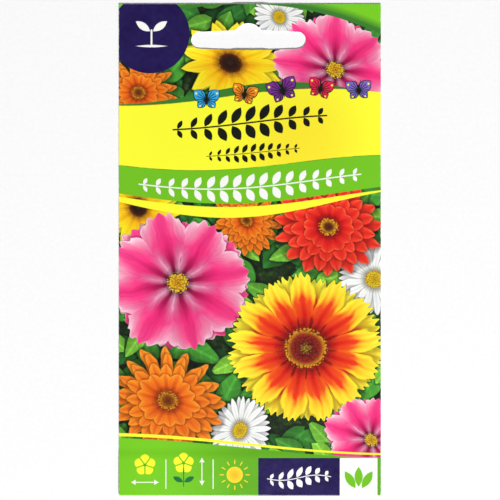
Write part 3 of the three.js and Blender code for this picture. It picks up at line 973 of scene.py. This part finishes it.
def front_level(x, y, sheet):
    """Height of the front's underside: it climbs over the seam, and the filled pocket lifts it."""
    pocket = smooth((HEADER_START - y) / POCKET_BLEND) * smooth((y - TUBE_END) / POCKET_BLEND)
    seam = smooth((SEAM_HALF + SEAM_RAMP - np.abs(x)) / SEAM_RAMP)
    along = np.clip((y - TUBE_END) / (HEADER_START - TUBE_END), 0.0, 1.0)
    lift = POCKET_RISE * (1.0 - (np.abs(x) / FOLD_X) ** 2.2) * (1.0 - abs(2.0 * along - 1.0) ** 2.6)
    return base(y) + STEP + STEP * seam * (1.0 - pocket) + lift + pocket * cockle(x, y, sheet)


def tube_points(lap, bend, front, y, sheet):
    """The tube's points as [surface, row, column]: back, fold, front, fold and back at every y."""
    floor = base(y)
    climb = floor + STEP * smooth((lap + SEAM_HALF + SEAM_RAMP) / SEAM_RAMP)
    level = np.repeat(floor, len(lap), axis=1)
    surfaces = []
    for radius, back, face in ((FOLD_OUTER, 0.0, PAPER), (FOLD_INNER, PAPER, 0.0)):
        turn_x = FOLD_X + radius * np.cos(bend)
        turn_z = floor + FOLD_OUTER + radius * np.sin(bend)
        x = np.concatenate([lap, -turn_x, front, turn_x[::-1], -lap[::-1]])
        z = [climb + back, turn_z, front_level(front, y, sheet) + face, turn_z[:, ::-1], level + back]
        surfaces.append(grid(x, y, np.hstack(z)))
    return np.array(surfaces)


def flap_points(outer_edge, bend, y):
    """The flap's points, from its free edge, flat under the back, to the bottom fold round to the tube."""
    x, middle = outer_edge[:, 0], outer_edge[:, 2] / 2
    cosine, sine = np.cos(bend)[:, None], np.sin(bend)[:, None]
    turned = [grid(x, BOTTOM + middle - r * cosine, middle + r * sine) for r in (middle, middle - PAPER)]
    flat = [grid(x * (1.0 - FLAP_TAPER * (y - BOTTOM) / FLAP_LENGTH), y, z) for z in (0.0, PAPER)]
    return np.concatenate([flat, turned], axis=1)


def sheet_points(sheet):
    """The sheet's points as [surface, row, column], the cells it has, and the points that look up.

    Rows run from the flap's free edge to the top, and columns from the inner lap's edge round to the
    outer's. The flap hangs on the front's columns alone.
    """
    cell = sheet.cell / MM
    lap = steps(SEAM_HALF, -PANEL_HALF, cell)
    front = steps(-PANEL_HALF, PANEL_HALF, cell)
    bend = np.radians(np.linspace(-90.0, 90.0, sheet.fold_steps + 1))
    tube_y = np.concatenate([[TUBE_END], steps(math.ceil(TUBE_END), TOP, cell)])[:, None]
    flap_y = steps(FLAP_END, math.ceil(BOTTOM + 0.5), cell)[:, None]
    tube = tube_points(lap, bend, front, tube_y, sheet)
    points = np.concatenate([flap_points(tube[0, 0], bend, flap_y), tube], axis=1)

    _, rows, columns, _ = points.shape
    present = np.ones((rows - 1, columns - 1), bool)
    beside = len(lap) + len(bend)
    present[: len(flap_y) + len(bend), : beside - 1] = False
    present[: len(flap_y) + len(bend), beside + len(front) :] = False
    upward = np.zeros((rows, columns), bool)
    half = len(bend) // 2
    upward[len(flap_y) + half :, len(lap) + half : -1 - len(lap) - half] = True
    return points, present, upward


def sheet_faces(present):
    """Every face as four corners (surface, row, column), and how each rim looks out of the sheet."""
    padded = np.pad(present, 1)
    corners, looks = [], []
    for row, column in zip(*np.nonzero(present)):
        ring = [(row + up, column + right) for up, right in CORNERS]
        corners += [[(0, *spot) for spot in ring], [(1, *spot) for spot in reversed(ring)]]
        looks += [(0, 0), (0, 0)]
        for side, (up, right) in enumerate(((-1, 0), (0, 1), (1, 0), (0, -1))):
            if not padded[row + 1 + up, column + 1 + right]:
                start, end = ring[side], ring[(side + 1) % 4]
                corners.append([(0, *end), (0, *start), (1, *start), (1, *end)])
                looks.append((up, right))
    return np.array(corners), np.array(looks)


def new_mesh(name, points, faces, materials, maps=None, indices=None):
    """A mesh in metres from points in millimetres, with its UV maps, materials and smooth shading."""
    mesh = bpy.data.meshes.new(name)
    mesh.from_pydata(np.asarray(points) * MM, [], faces)
    for label, places in (maps or {}).items():
        layer = mesh.uv_layers.new(name=label, do_init=False)
        layer.uv.foreach_set("vector", np.asarray(places, np.float32).ravel())
    for material in materials:
        mesh.materials.append(material)
    if indices is not None:
        mesh.polygons.foreach_set("material_index", np.asarray(indices, np.int32))
    mesh.shade_smooth()
    mesh.validate()
    return mesh


def run_length(line):
    """How far each point of a line lies along it."""
    return np.concatenate([[0.0], np.cumsum(np.linalg.norm(np.diff(line, axis=0), axis=1))])


def sheet_mesh(sheet, materials):
    """The whole sheet with a map of its print and a map for baking. Materials: front bands, back, bare."""
    points, present, upward = sheet_points(sheet)
    corners, looks = sheet_faces(present)
    surface, row, column = np.moveaxis(corners, -1, 0)
    numbers = np.ravel_multi_index((surface, row, column), points.shape[:3])
    used, faces = np.unique(numbers, return_inverse=True)
    faces = faces.reshape(numbers.shape)
    places = points.reshape(-1, 3)[used]
    at = places[faces]

    upward = upward[row.min(axis=1), column.min(axis=1)]
    outside = (surface == 0).all(axis=1)
    band = np.searchsorted(FRONT_BANDS[1:-1], at[..., 1].mean(axis=1))
    index = np.where(outside, np.where(upward, band, len(FRONT_BANDS) - 1), len(FRONT_BANDS))
    print_map = at[..., :2].copy()
    print_map[~upward, :, 0] *= -1.0

    # The sheet laid out flat, its rims beside it, and its inside in a narrow strip at the right.
    outer = points[0]
    across = run_length(outer[-1])[column]
    along = run_length(outer[:, outer.shape[1] // 2])[row]
    inner = (surface == 1).all(axis=1)[:, None]
    rim = ((surface == 1) & ~inner)[..., None] * looks[:, None, ::-1] * PAPER
    bake = (np.stack([across, along], axis=-1) + rim + BAKE_MARGIN) / BAKE_SPAN
    low, high = INSIDE_STRIP
    bake[..., 1] = np.where(inner, low + (high - low) * along / along.max(), bake[..., 1])
    return new_mesh("folded_sheet", places, faces, materials, {"Print": print_map, "OFBake": bake}, index)


def arc(centre, radius, start, stop, count):
    """Points round part of a circle, with angles in degrees."""
    angles = np.radians(np.linspace(start, stop, count))
    return [(centre[0] + radius * math.cos(a), centre[1] + radius * math.sin(a)) for a in angles]


def bezier(points, count):
    """Points along a Bézier curve of two, three or four points."""
    curve = []
    for t in np.linspace(0.0, 1.0, count):
        left = [np.array(point, float) for point in points]
        while len(left) > 1:
            left = [(1.0 - t) * a + t * b for a, b in zip(left, left[1:])]
        curve.append(tuple(left[0]))
    return curve


def slot_outline():
    """The euro slot's edge: bowed below, round at its ends, with a hump in its upper edge."""
    half, radius = SLOT_HALF, SLOT_RADIUS
    foot = radius + SLOT_RISE
    crown = HUMP_TOP - SLOT_CENTRE[1]
    side = [(HUMP_HALF, foot), (HUMP_HALF - HUMP_FLARE, foot), (HUMP_CROWN, crown), (0.0, crown)]
    hump = bezier(side, HUMP_POINTS)
    line = bezier([(-half, -radius), (0.0, -radius - 2.0 * SLOT_BOW), (half, -radius)], SLOT_POINTS)
    line += arc((half, 0.0), radius, -90.0, 90.0, SLOT_POINTS)[1:]
    line += hump + [(-x, y) for x, y in reversed(hump)][1:]
    line += arc((-half, 0.0), radius, 90.0, 270.0, SLOT_POINTS)[:-1]
    return [(SLOT_CENTRE[0] + x, SLOT_CENTRE[1] + y) for x, y in line]


def add_object(name, data):
    """Puts a mesh, lamp or camera in the scene."""
    thing = bpy.data.objects.new(name, data)
    bpy.context.scene.collection.objects.link(thing)
    return thing


def slot_punch(bare):
    """The punch that cuts the slot: a closed prism whose walls become the slot's cut edge."""
    line = slot_outline()
    count = len(line)
    points = [(x, y, z) for z in (-PUNCH_DEPTH, PUNCH_DEPTH) for x, y in line]
    faces = [(i, (i + 1) % count, count + (i + 1) % count, count + i) for i in range(count)]
    faces += [range(count - 1, -1, -1), range(count, 2 * count)]
    marks = [(i + right, up) for i in range(count) for up, right in CORNERS]
    bake = [(BAKE_MARGIN / BAKE_SPAN + CUT_LENGTH * x / count, CUT_STRIP[y]) for x, y in marks]
    ends = [(0.0, 0.0)] * (2 * count)
    maps = {"Print": marks + ends, "OFBake": bake + ends}
    return add_object("slot_punch", new_mesh("slot_punch", points, faces, [bare], maps))


def punch_slot(piece, bare):
    """Cuts the slot through every layer and keeps the result as the piece's own mesh."""
    punch = slot_punch(bare)
    cut = piece.modifiers.new("slot", "BOOLEAN")
    cut.operation = "DIFFERENCE"
    cut.solver = "EXACT"
    cut.material_mode = "TRANSFER"
    cut.object = punch
    mesh = bpy.data.meshes.new_from_object(piece.evaluated_get(bpy.context.evaluated_depsgraph_get()))
    piece.modifiers.clear()
    uncut = piece.data
    piece.data = mesh
    mesh.name = uncut.name
    bpy.data.meshes.remove(uncut)
    bpy.data.objects.remove(punch)
    mesh.shade_smooth()
    mesh.set_sharp_from_angle(angle=SHARP_ANGLE)


def add_piece(name, mesh, node):
    """Puts a mesh in the scene as a piece that stands for one of the packet's solids."""
    piece = add_object(name, mesh)
    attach(piece, "root")
    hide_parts(node)
    return piece


# ---------------------------------------------------------------------------------------------------
# The seeds. Each lies along X, from its foot at the left to its brush of hairs at the right.

FOOT_TIP = -2.6
FLATNESS = 0.65
# The achene's radius at places along it.
ACHENE = {-2.5: 0.1, -2.25: 0.3, -1.8: 0.46, -1.2: 0.6, -0.5: 0.68, 0.2: 0.62, 0.8: 0.5, 1.2: 0.34}
BOW = 0.08
RIB_DEPTH = 0.09
POINTS_PER_RIB = 4
ROOT_DEPTH = 0.1
HAIR_ROOT = 0.7
HAIR_TIP = 2.42
HAIR_UNEVEN = 0.35
HAIR_TAPER = 0.7
HAIR_SIDES = 4
# Where the rings of a hair lie along it, as shares of its length.
HAIR_RINGS = (0.0, 0.4, 0.75)
ROOT_RADIUS = 0.3
BRUSH_RADIUS = 0.9


def shell_of_rings(rings, start, end):
    """A closed shell of rings of points between two end points. Returns its points and faces."""
    sides = len(rings[0])
    points = [start] + [point for ring in rings for point in ring] + [end]
    last = len(points) - 1
    faces = []
    for i in range(sides):
        j = (i + 1) % sides
        faces.append((0, 1 + j, 1 + i))
        for low in range(1, last - sides, sides):
            faces.append((low + i, low + j, low + sides + j, low + sides + i))
        faces.append((last - sides + i, last - sides + j, last))
    return points, faces


def achene_shell(settings, rng):
    """The seed's body, ribbed along its length and slightly bent."""
    count = settings.ribs * POINTS_PER_RIB
    angles = [TAU * i / count for i in range(count)]
    bow = rng.uniform(-BOW, BOW)
    rings = []
    for x, radius in ACHENE.items():
        aside = bow * (1.0 - (x / FOOT_TIP) ** 2)
        ring = []
        for angle in angles:
            ribbed = radius * (1.0 - RIB_DEPTH * math.cos(settings.ribs * angle))
            ring.append((x, ribbed * math.cos(angle) + aside, FLATNESS * ribbed * math.sin(angle)))
        rings.append(ring)
    return shell_of_rings(rings, (FOOT_TIP, 0.0, 0.0), (max(ACHENE) + ROOT_DEPTH, 0.0, 0.0))


def hair_shell(rng, settings):
    """One hair of the brush: a thin cone that bends outwards from its root in the achene's shoulder."""
    angle = rng.uniform(0.0, TAU)
    spread = math.sqrt(rng.uniform(0.02, 1.0))
    reach = HAIR_TIP - rng.uniform(0.0, HAIR_UNEVEN)
    cosine, sine = math.cos(angle), math.sin(angle)
    rings = []
    for share in HAIR_RINGS:
        out = spread * (ROOT_RADIUS + (BRUSH_RADIUS - ROOT_RADIUS) * share**1.5)
        middle = np.array((HAIR_ROOT + (reach - HAIR_ROOT) * share, out * cosine, FLATNESS * out * sine))
        thick = settings.hair_width / MM / 2 * (1.0 - HAIR_TAPER * share)
        around = [angle + TAU * corner / HAIR_SIDES for corner in range(HAIR_SIDES)]
        rings.append([tuple(middle + thick * np.array((0.0, math.cos(a), math.sin(a)))) for a in around])
    out = spread * BRUSH_RADIUS
    root = (HAIR_ROOT - ROOT_DEPTH, 0.2 * spread * cosine, 0.1 * spread * sine)
    return shell_of_rings(rings, root, (reach, out * cosine, FLATNESS * out * sine))


def seed_place(node):
    """Where a packed seed lies, in millimetres: its origin, and the way from its foot to its brush."""
    points = np.array([vertex.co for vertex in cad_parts[node].data.vertices]) / MM
    middle = points.mean(axis=0)
    foot = points[np.argmax(np.linalg.norm(points - middle, axis=1))]
    forward = (middle - foot) * (1.0, 1.0, 0.0)
    forward /= np.linalg.norm(forward)
    return foot - forward * FOOT_TIP, forward


def seed_mesh(node, settings, materials, number):
    """The finished mesh of one seed in its place: its achene and every hair of its brush."""
    rng = random.Random(settings.draw + number)
    shells = [achene_shell(settings, rng)]
    shells += [hair_shell(rng, settings) for _ in range(settings.hairs)]
    points, faces, index = [], [], []
    for kind, (shell_points, shell_faces) in enumerate(shells):
        faces += [tuple(len(points) + corner for corner in face) for face in shell_faces]
        points += shell_points
        index += [min(kind, 1)] * len(shell_faces)
    points = np.array(points)
    origin, forward = seed_place(node)
    beside = np.array((-forward[1], forward[0], 0.0))
    placed = origin + points @ (forward, beside, (0.0, 0.0, 1.0))
    marks = np.stack([points[:, 0], np.arctan2(points[:, 2], points[:, 1])], axis=1)
    lengthwise = {"Length": marks[np.concatenate(faces)]}
    return new_mesh(f"seed_mesh_{number:02d}", placed, faces, materials, lengthwise, index)


# ---------------------------------------------------------------------------------------------------
# The stage.

LIGHT_DISTANCE = 5.0
# The key lamp stands low beyond the packet's foot, so that the slot's lower edge throws a narrow shadow.
KEY_LIGHT = (-74.0, 39.0)
FILL_LIGHTS = {"left_fill": 178.0, "head_fill": 98.0, "right_fill": 18.0}
FILL_ELEVATION = 45.0
CAMERA_SENSOR = 36.0
# Where the camera stands over the packet, to frame it as the photograph does.
CAMERA_PLACE = (0.05, -0.04)
FLOOR_HALF = 3.0


def add_light(name, bearing, elevation, size, power):
    """A large soft lamp aimed at the packet, its bearing turned from the packet's right to its head."""
    lamp = bpy.data.lights.new(name, "AREA")
    lamp.shape = "SQUARE"
    lamp.size = size
    lamp.energy = power
    turn, height = math.radians(bearing), math.radians(elevation)
    level = math.cos(height)
    thing = add_object(name, lamp)
    thing.location = (math.cos(turn) * level, math.sin(turn) * level, math.sin(height))
    thing.location *= LIGHT_DISTANCE
    thing.rotation_euler = thing.location.to_track_quat("Z", "Y").to_euler()


def soft_sky(stage):
    """A pale surround: bright low down, and dim overhead so that the varnish keeps its depth of colour."""
    world = bpy.data.worlds.new("soft_sky")
    world.use_nodes = True
    height = put("SeparateXYZ", put("TexCoord", tree=world.node_tree)["Generated"])["Z"]
    levels = (0.1, 0.85, stage.sky_low, stage.sky_high)
    strength = put("MapRange", height, *levels, interpolation_type="SMOOTHSTEP")
    background = world.node_tree.nodes["Background"]
    connect(background.inputs["Strength"], strength)
    connect(background.inputs["Color"], (1.0, 1.0, 1.0, 1.0))
    bpy.context.scene.world = world


def backdrop():
    """The floor that the packet lies on."""
    side = FLOOR_HALF / MM
    points = [((2 * right - 1) * side, (2 * up - 1) * side, 0.0) for up, right in CORNERS]
    mesh = new_mesh("backdrop", points, [(0, 1, 2, 3)], [matt_backdrop_board()])
    add_object("backdrop", mesh)


def look_down(stage):
    """A long lens straight above the packet, framed with a narrow border above and below."""
    overhead = bpy.data.cameras.new("overhead_camera")
    overhead.sensor_width = CAMERA_SENSOR
    overhead.lens = CAMERA_SENSOR * stage.camera_height / stage.frame_width
    camera = add_object("overhead_camera", overhead)
    camera.location = (CAMERA_PLACE[0] * MM, CAMERA_PLACE[1] * MM, stage.camera_height)
    bpy.context.scene.camera = camera


# ---------------------------------------------------------------------------------------------------
# Settings, operators and panel.


def setting(kind, name, description, default, **more):
    """A setting of a kind of number, with its limits, unit or subtype."""
    return kind(name=name, description=description, default=default, **more)


def tint(name, description, hex_colour):
    """A setting for a colour."""
    limits = {"size": 4, "min": 0.0, "max": 1.0}
    return setting(FloatVectorProperty, name, description, linear(hex_colour), subtype="COLOR", **limits)


whole = partial(setting, IntProperty)
amount = partial(setting, FloatProperty, min=0.0)
measure = partial(amount, unit="LENGTH")
wattage = partial(amount, unit="POWER")


class PacketInks(bpy.types.PropertyGroup):
    """The inks of the packet's artwork."""

    yellow: tint("Ribbon yellow", "Title ribbon, thin lines and pictograms", "#fdfd34")
    orange: tint("Warm orange", "Glow in the ribbon and the sun's heart", "#f6b021")
    sun: tint("Sun yellow", "The sun and its rays", "#fbdc33")
    bright: tint("Wedge green", "Corner wedge and sowing months", "#77cd20")
    band: tint("Band green", "Band under the ribbon and small leaves", "#73c31f")
    footer: tint("Footer green", "Footer on both faces", "#62ac1e")
    leaf: tint("Leaf green", "Ribbon line, wedge and seedlings", "#3a7d2c")
    stem: tint("Stem green", "Stem and leaves of the height pictogram", "#17703a")
    dark: tint("Title dark", "Garland in the title's place and outlines", "#10130c")
    violet: tint("Badge violet", "Badge and footer block", "#1a0a49")
    indigo: tint("Badge indigo", "What the violet shifts towards", "#201353")
    pink: tint("Bloom pink", "Blooming months and a pictogram", "#ee4f9f")
    water: tint("Water blue", "The water pictogram", "#3fa3dc")
    mist: tint("Pale tint", "Empty calendar cells and tiles", "#e3f0d2")
    mist_line: tint("Rule grey", "Ruled note lines", "#a9bf94")
    white: tint("Bare coating", "Unprinted coated paper", "#f8f8f4")
    cream: tint("Back tint", "Faint tint of the back", "#f4f3e6")


class PacketSheet(bpy.types.PropertyGroup):
    """The folded sheet's fineness and how flat it lies."""

    cell: measure("Cell", "Size of the mesh's cells", 1.0 * MM, min=0.5 * MM)
    fold_steps: whole("Fold steps", "Faces round each fold, an even number", 8, min=2)
    cockle: measure("Cockle", "How far the front waves", 0.05 * MM)
    pucker: measure("Pucker", "Height of the creases by the glued ends", 0.06 * MM)
    wear: amount("Wear", "How much the coating has cracked along the folds", 0.4, subtype="FACTOR", max=1.0)


class PacketSeeds(bpy.types.PropertyGroup):
    """The seeds' detail and colours."""

    ribs: whole("Ribs", "Ribs round each achene", 9, min=3)
    hairs: whole("Hairs", "Hairs in each brush", 46, min=1)
    hair_width: measure("Hair width", "Thickness at the root", 0.06 * MM)
    draw: whole("Draw", "Start of the random numbers", 7)
    coat: tint("Coat", "Colour of the seed coat", "#8a6a48")
    hair: tint("Hair", "Colour of the hairs", "#d9c9a6")


class PacketStage(bpy.types.PropertyGroup):
    """The floor, lamps and camera."""

    key_power: wattage("Key power", "Power of the key lamp", 335.0)
    key_size: measure("Key size", "Side of the key lamp", 1.0)
    fill_power: wattage("Fill power", "Power of each fill lamp", 12.0)
    fill_size: measure("Fill size", "Side of each fill lamp", 3.6)
    sky_low: amount("Sky low", "Brightness of the surround at the horizon", 0.5)
    sky_high: amount("Sky high", "Brightness of the surround overhead", 0.03)
    camera_height: measure("Camera height", "Height over the floor", 1.5)
    frame_width: measure("Frame width", "Width of floor in view", 0.1526)


class SEEDPACKET_OT_sheet(bpy.types.Operator):
    """Folds the printed sheet round the pocket and punches its slot"""

    bl_idname = "seedpacket.sheet"
    bl_label = "Folded sheet"

    def execute(self, context):
        inks, sheet = context.scene.packet_inks, context.scene.packet_sheet
        prints = {
            f"front_{number}": partial(front_print, low=low, high=high, inks=inks)
            for number, (low, high) in enumerate(zip(FRONT_BANDS, FRONT_BANDS[1:]), 1)
        }
        prints["back"] = partial(back_print, inks=inks)
        materials = [
            offset_printed_coated_paper(f"offset_printed_coated_paper_{name}", artwork, sheet.wear)
            for name, artwork in prints.items()
        ]
        bare = uncoated_paper_side()
        piece = add_piece("folded_sheet", sheet_mesh(sheet, [*materials, bare]), PAPER_NODE)
        punch_slot(piece, bare)
        return {"FINISHED"}


class SEEDPACKET_OT_glue(bpy.types.Operator):
    """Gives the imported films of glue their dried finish"""

    bl_idname = "seedpacket.glue"
    bl_label = "Glue films"

    def execute(self, context):
        glue = dried_dispersion_glue()
        for name in GLUE_NODES:
            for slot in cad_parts[name].material_slots:
                slot.material = glue
        return {"FINISHED"}


class SEEDPACKET_OT_seeds(bpy.types.Operator):
    """Makes every seed with its ribbed coat and brush of hairs"""

    bl_idname = "seedpacket.seeds"
    bl_label = "Seeds"

    def execute(self, context):
        settings = context.scene.packet_seeds
        materials = [dry_seed_coat(settings.coat), silky_seed_hair(settings.hair)]
        for number, node in enumerate(SEED_NODES, 1):
            add_piece(f"dry_{node}", seed_mesh(node, settings, materials, number), node)
        return {"FINISHED"}


class SEEDPACKET_OT_stage(bpy.types.Operator):
    """Lays the floor and sets up the lamps and the camera"""

    bl_idname = "seedpacket.stage"
    bl_label = "Stage"

    def execute(self, context):
        stage = context.scene.packet_stage
        backdrop()
        soft_sky(stage)
        add_light("key_light", *KEY_LIGHT, stage.key_size, stage.key_power)
        for name, bearing in FILL_LIGHTS.items():
            add_light(name, bearing, FILL_ELEVATION, stage.fill_size, stage.fill_power)
        look_down(stage)
        context.scene.view_settings.view_transform = "Standard"
        return {"FINISHED"}


class SEEDPACKET_PT_build(bpy.types.Panel):
    """Lists the steps that build the packet, with their settings"""

    bl_idname = "SEEDPACKET_PT_build"
    bl_label = "Seed packet"
    bl_category = "Seed packet"
    bl_space_type = "VIEW_3D"
    bl_region_type = "UI"

    def draw(self, context):
        for operator, settings in STEPS:
            column = self.layout.column(align=True)
            column.operator(operator.bl_idname)
            for name in settings:
                group = getattr(context.scene, name)
                for label in group.__annotations__:
                    column.prop(group, label)


STEPS = (
    (SEEDPACKET_OT_sheet, ("packet_sheet", "packet_inks")),
    (SEEDPACKET_OT_glue, ()),
    (SEEDPACKET_OT_seeds, ("packet_seeds",)),
    (SEEDPACKET_OT_stage, ("packet_stage",)),
)
SETTINGS = {
    "packet_inks": PacketInks,
    "packet_sheet": PacketSheet,
    "packet_seeds": PacketSeeds,
    "packet_stage": PacketStage,
}
CLASSES = (*SETTINGS.values(), *(operator for operator, _ in STEPS), SEEDPACKET_PT_build)


def register():
    for kind in CLASSES:
        bpy.utils.register_class(kind)
    for name, settings in SETTINGS.items():
        setattr(bpy.types.Scene, name, PointerProperty(type=settings))


def unregister():
    for name in SETTINGS:
        delattr(bpy.types.Scene, name)
    for kind in reversed(CLASSES):
        bpy.utils.unregister_class(kind)


def main():
    """Builds the packet and its stage."""
    register()
    bpy.ops.seedpacket.sheet()
    bpy.ops.seedpacket.glue()
    bpy.ops.seedpacket.seeds()
    bpy.ops.seedpacket.stage()


if __name__ == "__main__":
    main()
